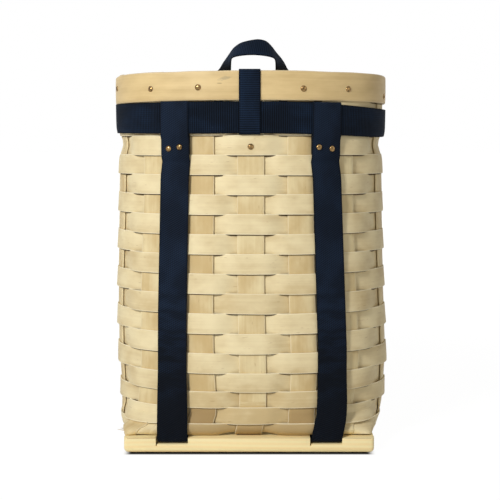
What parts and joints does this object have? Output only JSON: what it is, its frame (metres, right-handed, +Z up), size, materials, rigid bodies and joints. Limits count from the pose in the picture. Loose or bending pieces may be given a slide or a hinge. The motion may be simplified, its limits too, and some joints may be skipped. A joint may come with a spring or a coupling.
{
  "type": "pack basket",
  "caption": "Tall woven splint pack basket on a wooden base board, with a webbing harness, shoulder straps and a fold-over grab handle.",
  "frame": {"origin": "middle of the base board's underside, which is the plane the basket rests on", "axes": "+Z up, +Y towards the wearer's back and the shoulder straps, -Y the outer front, +X to the right when the front is seen"},
  "size_m": [0.3704, 0.3832, 0.5519],
  "materials": {
    "splint_wood": "bare ash splint",
    "rim_wood": "bare bent ash",
    "board_wood": "sanded pine",
    "webbing": "woven navy webbing",
    "brass": "polished brass",
    "plated_steel": "brass plated"
  },
  "bodies": {
    "basket": {"weaver_01": "splint_wood", "weaver_02": "splint_wood", "weaver_03": "splint_wood", "weaver_04": "splint_wood", "weaver_05": "splint_wood", "weaver_06": "splint_wood", "weaver_07": "splint_wood", "weaver_08": "splint_wood", "weaver_09": "splint_wood", "weaver_10": "splint_wood", "weaver_11": "splint_wood", "weaver_12": "splint_wood", "weaver_13": "splint_wood", "weaver_14": "splint_wood", "weaver_15": "splint_wood", "weaver_16": "splint_wood", "weaver_17": "splint_wood", "weaver_18": "splint_wood", "long_splint_1": "splint_wood", "long_splint_2": "splint_wood", "long_splint_3": "splint_wood", "long_splint_4": "splint_wood", "long_splint_5": "splint_wood", "cross_splint_1": "splint_wood", "cross_splint_2": "splint_wood", "cross_splint_3": "splint_wood", "outer_hoop": "rim_wood", "inner_hoop": "rim_wood", "base_board": "board_wood", "belt": "webbing", "centre_strap": "webbing", "main_strap_left": "webbing", "main_strap_right": "webbing", "shoulder_strap_left": "webbing", "shoulder_strap_right": "webbing", "handle_tab_left": "webbing", "handle_tab_right": "webbing", "base_nail_1": "brass", "base_nail_2": "brass", "base_nail_3": "brass", "base_nail_4": "brass", "rim_rivet_1": "brass", "rim_rivet_2": "brass", "rim_rivet_3": "brass", "rim_rivet_4": "brass", "front_rivet_left_1": "brass", "front_rivet_left_2": "brass", "front_rivet_right_1": "brass", "front_rivet_right_2": "brass", "back_rivet_left_1": "brass", "back_rivet_left_2": "brass", "back_rivet_right_1": "brass", "back_rivet_right_2": "brass", "centre_rivet": "brass", "strap_ring_left": "plated_steel", "strap_ring_right": "plated_steel"},
    "handle": {"handle": "webbing"},
    "left_slide": {"sliding_buckle_left": "plated_steel"},
    "right_slide": {"sliding_buckle_right": "plated_steel"}
  },
  "joints": [
    {"name": "handle_fold", "type": "hinge", "parent": "basket", "child": "handle", "pos_m": [0.004, 0.14078, 0.4898], "axis": [1, 0, 0], "range_deg": [-112, 8]},
    {"name": "left_buckle_slide", "type": "slide", "parent": "basket", "child": "left_slide", "axis": [0, 0.3772, 0.9261], "range_m": [-0.045, 0.02]},
    {"name": "right_buckle_slide", "type": "slide", "parent": "basket", "child": "right_slide", "axis": [0, 0.3772, 0.9261], "range_m": [-0.045, 0.02]}
  ]
}
